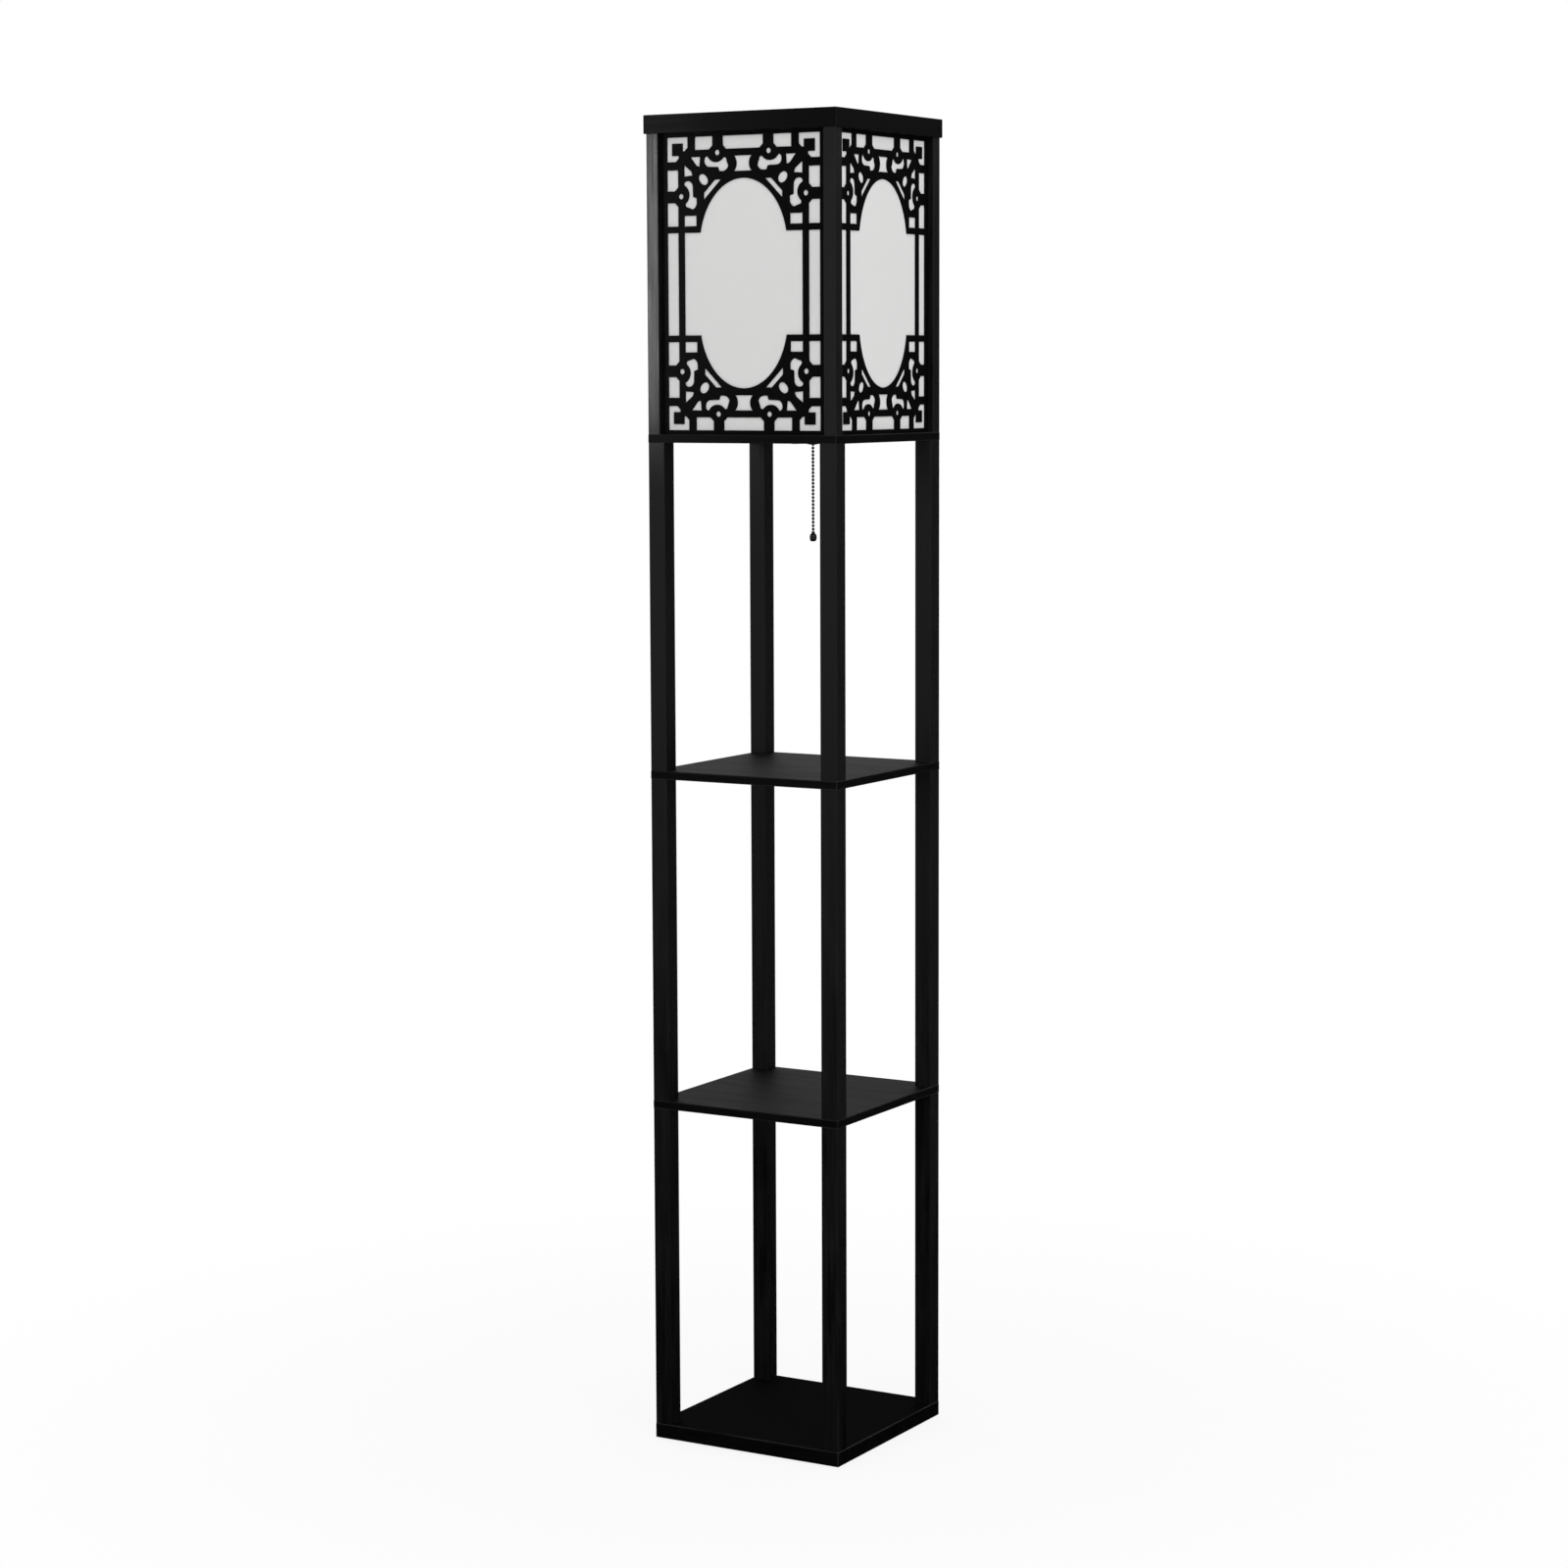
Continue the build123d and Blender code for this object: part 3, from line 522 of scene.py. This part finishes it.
def add_piece(name, builder, node_name, body, slot_name):
    """Links a piece in place of a CAD node, with rounded shading and its slot's finish."""
    bmesh.ops.recalc_face_normals(builder, faces=builder.faces)
    bmesh.ops.scale(builder, vec=(MM, MM, MM), verts=builder.verts)
    piece = link_mesh(name, builder)
    piece.data.shade_smooth()
    piece.data.set_sharp_from_angle(angle=math.radians(SHARP_ANGLE))
    piece.data.materials.append(finishes[slot_name])
    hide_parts(node_name)
    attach(piece, body)
    return piece


def quarter_turns(place):
    """A place and where it comes to after one, two and three quarter turns about the axis."""
    x, y = place
    return [(x, y), (-y, x), (-x, -y), (y, -x)]


def add_ring(builder, centre, radius, height, segments, reach):
    """A ring of points about an upright axis, or one point on it."""
    x, y = centre
    if radius == 0.0:
        return [builder.verts.new((x, y, height))]
    ring = []
    for step in range(segments):
        angle = 2 * math.pi * step / segments
        out = reach(angle, height, radius) if reach else radius
        place = (x + out * math.cos(angle), y + out * math.sin(angle), height)
        ring.append(builder.verts.new(place))
    return ring


def join_rings(builder, first, second):
    """Faces between two rings, or a fan where one of them is a point."""
    count = max(len(first), len(second))
    for step in range(count):
        after = step + 1
        corners = [first[step % len(first)], first[after % len(first)]]
        corners += [second[after % len(second)], second[step % len(second)]]
        builder.faces.new(dict.fromkeys(corners))


def turn_rows(builder, rows, centre, segments, reach=None, closed=False):
    """Turns rows of (radius, height) about an upright axis, and gives back the rings."""
    rings = [add_ring(builder, centre, radius, height, segments, reach) for radius, height in rows]
    for first, second in zip(rings, rings[1:]):
        join_rings(builder, first, second)
    if closed:
        join_rings(builder, rings[-1], rings[0])
    return rings


def even_rows(radius, bottom, top, step):
    """Rows of one radius from bottom to top."""
    count = max(1, round((top - bottom) / step))
    return [(radius, bottom + (top - bottom) * place / count) for place in range(count + 1)]


def screw_thread(outer, pitch, depth, bottom, top):
    """Cuts a V thread into a cylinder between two heights, and leaves other radii alone."""
    def reach(angle, height, radius):
        if radius != outer or not bottom <= height <= top:
            return radius
        place = (height / pitch - angle / (2 * math.pi)) % 1.0
        return radius - depth * abs(2 * place - 1)
    return reach


def round_thread(outers, pitch, depth, bottom, top):
    """Presses a rounded thread into the cylinders of some radii between two heights."""
    def reach(angle, height, radius):
        if radius not in outers or not bottom <= height <= top:
            return radius
        place = height / pitch - angle / (2 * math.pi)
        return radius - depth * (0.5 + 0.5 * math.cos(2 * math.pi * place))
    return reach


def make_felt_pads():
    """Four felt discs with soft, hairy rims."""
    def hairy(angle, height, radius):
        x, y = radius * math.cos(angle), radius * math.sin(angle)
        return radius - PAD_HAIR * abs(lattice.noise(Vector((x, y, 2 * height)) * PAD_HAIR_SCALE))

    builder = bmesh.new()
    rows = [(0.0, 0.0), (PAD_RADIUS - PAD_ROUND, 0.0)]
    for step in range(1, PAD_ROWS):
        angle = math.pi * step / PAD_ROWS
        bulge = PAD_RADIUS - PAD_ROUND * (1.0 - math.sin(angle))
        rows.append((bulge, PAD_THICKNESS / 2 * (1.0 - math.cos(angle))))
    rows += [(PAD_RADIUS - PAD_ROUND, PAD_THICKNESS), (0.0, PAD_THICKNESS)]
    for x in (-PAD_PLACE, PAD_PLACE):
        for y in (-PAD_PLACE, PAD_PLACE):
            turn_rows(builder, rows, (x, y), PAD_SEGMENTS, hairy)
    add_piece("felt_pads", builder, "floor_pads", "stand", "felt")


def cross_loop(builder, centre, height, arm, half_width):
    """The twelve corners of a cross."""
    x, y = centre
    quarter = [(arm, -half_width), (arm, half_width), (half_width, half_width)]
    turned = zip(*[quarter_turns(corner) for corner in quarter])
    corners = [corner for arm_corners in turned for corner in arm_corners]
    return [builder.verts.new((x + across, y + up, height)) for across, up in corners]


def make_cap_screws():
    """Countersunk screws with a cross recess and a coarse thread."""
    builder = bmesh.new()
    cone_end = SCREW_TOP - SCREW_HEAD_RADIUS + SCREW_RADIUS
    thread_end = SCREW_TIP + SCREW_RADIUS
    rows = [(0.0, SCREW_TIP)]
    rows += even_rows(SCREW_RADIUS, thread_end, SCREW_THREAD_TOP, SCREW_PITCH / THREAD_STEPS)
    rows += [(SCREW_RADIUS, cone_end), (SCREW_HEAD_RADIUS, SCREW_TOP - SCREW_RIM)]
    rows += [(SCREW_HEAD_RADIUS - SCREW_RIM, SCREW_TOP)]
    thread = screw_thread(SCREW_RADIUS, SCREW_PITCH, SCREW_DEPTH, thread_end, SCREW_THREAD_TOP)
    cross_floor = SCREW_TOP - CROSS_DEPTH
    for centre in quarter_turns(SCREW_PLACE):
        rim = turn_rows(builder, rows, centre, SCREW_SEGMENTS, thread)[-1]
        mouth = cross_loop(builder, centre, SCREW_TOP, CROSS_ARM, CROSS_HALF_WIDTH)
        floor = cross_loop(builder, centre, cross_floor, CROSS_FLOOR_ARM, CROSS_FLOOR_HALF_WIDTH)
        join_rings(builder, mouth, floor)
        bmesh.ops.triangulate(builder, faces=[builder.faces.new(floor)])
        edges = []
        for loop in (rim, mouth):
            for ends in zip(loop, loop[1:] + loop[:1]):
                edges.append(builder.edges.get(ends) or builder.edges.new(ends))
        bmesh.ops.triangle_fill(builder, edges=edges, use_beauty=True)
    add_piece("cap_screws", builder, "top_screws", "stand", "black_steel")


def make_threaded_tubes():
    """The threaded tubes that clamp the lampholder and the switch to the deck."""
    step = TUBE_PITCH / THREAD_STEPS
    builder = bmesh.new()
    rows = even_rows(TUBE_RADIUS, TUBE_BOTTOM, NIPPLE_TOP, step)
    rows += [(NIPPLE_BORE, NIPPLE_TOP), (NIPPLE_BORE, TUBE_BOTTOM)]
    thread = screw_thread(TUBE_RADIUS, TUBE_PITCH, TUBE_DEPTH, TUBE_BOTTOM, NIPPLE_TOP)
    turn_rows(builder, rows, HOLDER_AXIS, TUBE_SEGMENTS, thread, closed=True)
    add_piece("threaded_nipple", builder, "lampholder_nipple", "stand", "black_steel")
    builder = bmesh.new()
    rows = even_rows(TUBE_RADIUS, TUBE_BOTTOM, NECK_TOP, step)
    rows += [(NECK_FLANGE, NECK_TOP), (NECK_FLANGE, NECK_FLANGE_TOP), (NECK_BORE, NECK_FLANGE_TOP)]
    rows += [(NECK_BORE, TUBE_BOTTOM)]
    thread = screw_thread(TUBE_RADIUS, TUBE_PITCH, TUBE_DEPTH, TUBE_BOTTOM, NECK_TOP)
    turn_rows(builder, rows, SWITCH_AXIS, TUBE_SEGMENTS, thread, closed=True)
    add_piece("threaded_neck", builder, "pull_switch_neck", "stand", "black_steel")


def make_nut(name, centre, node_name):
    """A hexagon nut with its corners chamfered at both ends."""
    def hexagon(angle, height, radius):
        off = (angle % (math.pi / 3)) - math.pi / 6
        return min(radius, NUT_APOTHEM / math.cos(off))

    builder = bmesh.new()
    corner = NUT_APOTHEM / math.cos(math.pi / 6)
    face = NUT_APOTHEM - NUT_FACE_SETBACK
    rows = [(NUT_BORE, NUT_BOTTOM), (face, NUT_BOTTOM), (corner, NUT_BOTTOM + NUT_CHAMFER)]
    rows += [(corner, NUT_TOP - NUT_CHAMFER), (face, NUT_TOP), (NUT_BORE, NUT_TOP)]
    turn_rows(builder, rows, centre, NUT_SEGMENTS, hexagon, closed=True)
    add_piece(name, builder, node_name, "stand", "black_steel")


def make_bulb_cap():
    """The bulb's screw cap, with its rounded thread."""
    builder = bmesh.new()
    rows = [(0.0, CAP_BOTTOM)]
    rows += even_rows(CAP_RADIUS, CAP_BOTTOM, CAP_TOP, BULB_PITCH / THREAD_STEPS)
    rows += [(CAP_BORE, CAP_TOP), (CAP_BORE, CAP_BOTTOM + CAP_FLOOR), (0.0, CAP_BOTTOM + CAP_FLOOR)]
    low, high = CAP_BOTTOM + CAP_PLAIN, CAP_TOP - CAP_PLAIN
    thread = round_thread([CAP_RADIUS], BULB_PITCH, CAP_THREAD_DEPTH, low, high)
    turn_rows(builder, rows, HOLDER_AXIS, BULB_SEGMENTS, thread)
    add_piece("bulb_screw_cap", builder, "bulb_cap", "bulb", "bulb_metal")


def make_screw_shell():
    """The lampholder's pressed shell, whose thread shows inside and out."""
    builder = bmesh.new()
    step = BULB_PITCH / THREAD_STEPS
    inner_floor = SHELL_BOTTOM + SHELL_FLOOR
    rows = [(SHELL_HOLE, SHELL_BOTTOM)]
    rows += even_rows(SHELL_RADIUS, SHELL_BOTTOM, SHELL_TOP, step)
    rows += reversed(even_rows(SHELL_INNER, inner_floor, SHELL_TOP, step))
    rows += [(SHELL_HOLE, inner_floor)]
    low, high = SHELL_BOTTOM + SHELL_PLAIN, SHELL_TOP - SHELL_PLAIN
    thread = round_thread([SHELL_RADIUS, SHELL_INNER], BULB_PITCH, SHELL_THREAD_DEPTH, low, high)
    turn_rows(builder, rows, HOLDER_AXIS, BULB_SEGMENTS, thread, closed=True)
    add_piece("pressed_shell", builder, "lampholder_screw_shell", "stand", "brass")


def spring_height(turn):
    """The height of the spring's wire after some turns, of which the first and last are closed."""
    closed_rise = 2 * SPRING_WIRE_RADIUS
    open_turns = SPRING_TURNS - 2
    open_rise = (SPRING_TOP - SPRING_BOTTOM - 3 * closed_rise) / open_turns
    opened = min(max(turn - 1, 0), open_turns)
    return SPRING_BOTTOM + SPRING_WIRE_RADIUS + closed_rise * (turn - opened) + open_rise * opened


def make_return_spring():
    """The switch's coil spring, with closed ends."""
    builder = bmesh.new()
    x, y = SWITCH_AXIS
    rings = []
    for step in range(SPRING_TURNS * SPRING_STEPS + 1):
        turn = step / SPRING_STEPS
        height = spring_height(turn)
        cosine, sine = math.cos(2 * math.pi * turn), math.sin(2 * math.pi * turn)
        ring = []
        for side in range(SPRING_SIDES):
            angle = 2 * math.pi * side / SPRING_SIDES
            out = SPRING_RADIUS + SPRING_WIRE_RADIUS * math.cos(angle)
            up = SPRING_WIRE_RADIUS * math.sin(angle)
            ring.append(builder.verts.new((x + out * cosine, y + out * sine, height + up)))
        rings.append(ring)
    for first, second in zip(rings, rings[1:]):
        join_rings(builder, first, second)
    builder.faces.new(rings[0])
    builder.faces.new(rings[-1])
    spring = add_piece("return_spring", builder, "pull_switch_spring", "stand", "zinc_steel")
    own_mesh(spring)


for node_name, node in nodes.items():
    node_slot = node.material_slots[0]
    node_slot.material = finish_for(node_name, node_slot.material.name.split(".")[0])

make_felt_pads()
make_cap_screws()
make_threaded_tubes()
make_nut("holder_nut", HOLDER_AXIS, "lampholder_nut")
make_nut("switch_nut", SWITCH_AXIS, "pull_switch_nut")
make_bulb_cap()
make_screw_shell()
make_return_spring()


# Stage

def background_ray(tree):
    """1 for the rays that see the background: camera, mirror and glass."""
    path = add_node(tree, "ShaderNodeLightPath")
    either = combine(tree, "MAXIMUM", path.outputs["Is Camera Ray"], path.outputs["Is Glossy Ray"])
    return combine(tree, "MAXIMUM", either, path.outputs["Is Transmission Ray"])


def make_floor():
    """A pale floor that keeps the shadow near the lamp, fades to white and is clear from below."""
    builder = bmesh.new()
    bmesh.ops.create_circle(builder, cap_ends=True, segments=FLOOR_SEGMENTS, radius=FLOOR_RADIUS)
    floor = link_mesh("floor", builder)
    material = bpy.data.materials.new("floor_pale")
    material.use_nodes = True
    tree = material.node_tree
    tree.nodes.clear()
    place = add_node(tree, "ShaderNodeNewGeometry").outputs["Position"]
    distance = add_node(tree, "ShaderNodeVectorMath", {0: place}, operation="LENGTH").outputs["Value"]
    white = spread(tree, distance, FLOOR_NEAR_WHITE, 1.0, FLOOR_NEAR, FLOOR_FAR)
    share = combine(tree, "MULTIPLY", white, background_ray(tree))
    matte = add_node(tree, "ShaderNodeBsdfDiffuse", {"Color": FLOOR_COLOUR})
    glow = add_node(tree, "ShaderNodeEmission", {"Color": WHITE, "Strength": 1.0})
    inputs = {0: share, 1: matte.outputs["BSDF"], 2: glow.outputs["Emission"]}
    upper = add_node(tree, "ShaderNodeMixShader", inputs)
    under = add_node(tree, "ShaderNodeBsdfTransparent")
    side = add_node(tree, "ShaderNodeNewGeometry").outputs["Backfacing"]
    inputs = {0: side, 1: upper.outputs["Shader"], 2: under.outputs["BSDF"]}
    mixed = add_node(tree, "ShaderNodeMixShader", inputs)
    add_node(tree, "ShaderNodeOutputMaterial", {"Surface": mixed.outputs["Shader"]})
    floor.data.materials.append(material)


def make_world():
    """Even light, and plain white where the background shows."""
    world = bpy.data.worlds.new("studio")
    world.use_nodes = True
    tree = world.node_tree
    tree.nodes.clear()
    colour = blend(tree, background_ray(tree), AMBIENT, WHITE)
    sky = add_node(tree, "ShaderNodeBackground", {"Color": colour, "Strength": 1.0})
    add_node(tree, "ShaderNodeOutputWorld", {"Surface": sky.outputs["Background"]})
    bpy.context.scene.world = world


def aim(made, place, target):
    """Stands an object at a place, with its front towards a target."""
    made.location = place
    offset = [end - start for start, end in zip(place, target)]
    flat = math.hypot(offset[0], offset[1])
    made.rotation_euler = (math.atan2(flat, -offset[2]), 0.0, math.atan2(-offset[0], offset[1]))


def make_softbox(name, place, target, size, power):
    """A soft rectangular lamp."""
    light = bpy.data.lights.new(name, "AREA")
    light.shape = "RECTANGLE"
    light.size, light.size_y = size
    light.energy = power
    softbox = bpy.data.objects.new(name, light)
    bpy.context.scene.collection.objects.link(softbox)
    aim(softbox, place, target)
    softbox.visible_camera = False
    return softbox


def make_lights():
    """The key light, and a narrow lamp for the left head post, which only shows in gloss."""
    make_softbox("key", KEY_PLACE, KEY_AIM, KEY_SIZE, KEY_POWER)
    sheen = make_softbox("sheen", SHEEN_PLACE, SHEEN_AIM, SHEEN_SIZE, SHEEN_POWER)
    sheen.data.spread = math.radians(SHEEN_SPREAD)
    sheen.visible_diffuse = False
    sheen.visible_transmission = False


def dress_flag(flag, level):
    """Makes a mesh a black or grey card, which only shows in gloss."""
    material, tree, shader = start_material(flag.name)
    feed(tree, shader, Base_Color=(*grey(level), 1.0), Roughness=1.0, Specular_IOR_Level=0.0)
    flag.data.materials.append(material)
    flag.visible_camera = False
    flag.visible_diffuse = False
    flag.visible_transmission = False
    flag.visible_shadow = False


def make_flags():
    """Cards that stand round the lamp, and one that lies under it."""
    for name, (place, size, level) in FLAGS.items():
        builder = bmesh.new()
        bmesh.ops.create_grid(builder, x_segments=1, y_segments=1, size=0.5)
        bmesh.ops.scale(builder, vec=(*size, 1.0), verts=builder.verts)
        flag = link_mesh(name, builder)
        aim(flag, place, (0.0, 0.0, place[2]))
        dress_flag(flag, level)
    builder = bmesh.new()
    bmesh.ops.create_circle(builder, cap_ends=True, segments=FLOOR_SEGMENTS, radius=FLOOR_FLAG_RADIUS)
    floor_flag = link_mesh("flag_floor", builder)
    floor_flag.location.z = FLOOR_FLAG_HEIGHT
    dress_flag(floor_flag, BLACK_CARD)


def make_camera():
    """A camera at the photograph's viewing angle, tilted down a little."""
    data = bpy.data.cameras.new("camera")
    data.lens = CAMERA_LENS
    data.sensor_width = SENSOR_WIDTH
    camera = bpy.data.objects.new("camera", data)
    bpy.context.scene.collection.objects.link(camera)
    turn = Matrix.Rotation(math.radians(CAMERA_TURN), 4, "Z")
    tilt = Matrix.Rotation(math.radians(90.0 - CAMERA_TILT), 4, "X")
    roll = Matrix.Rotation(math.radians(CAMERA_ROLL), 4, "Z")
    camera.matrix_world = Matrix.Translation(CAMERA_PLACE) @ turn @ tilt @ roll
    bpy.context.scene.camera = camera


make_floor()
make_world()
make_lights()
make_flags()
make_camera()

bpy.context.scene.view_settings.view_transform = "Standard"
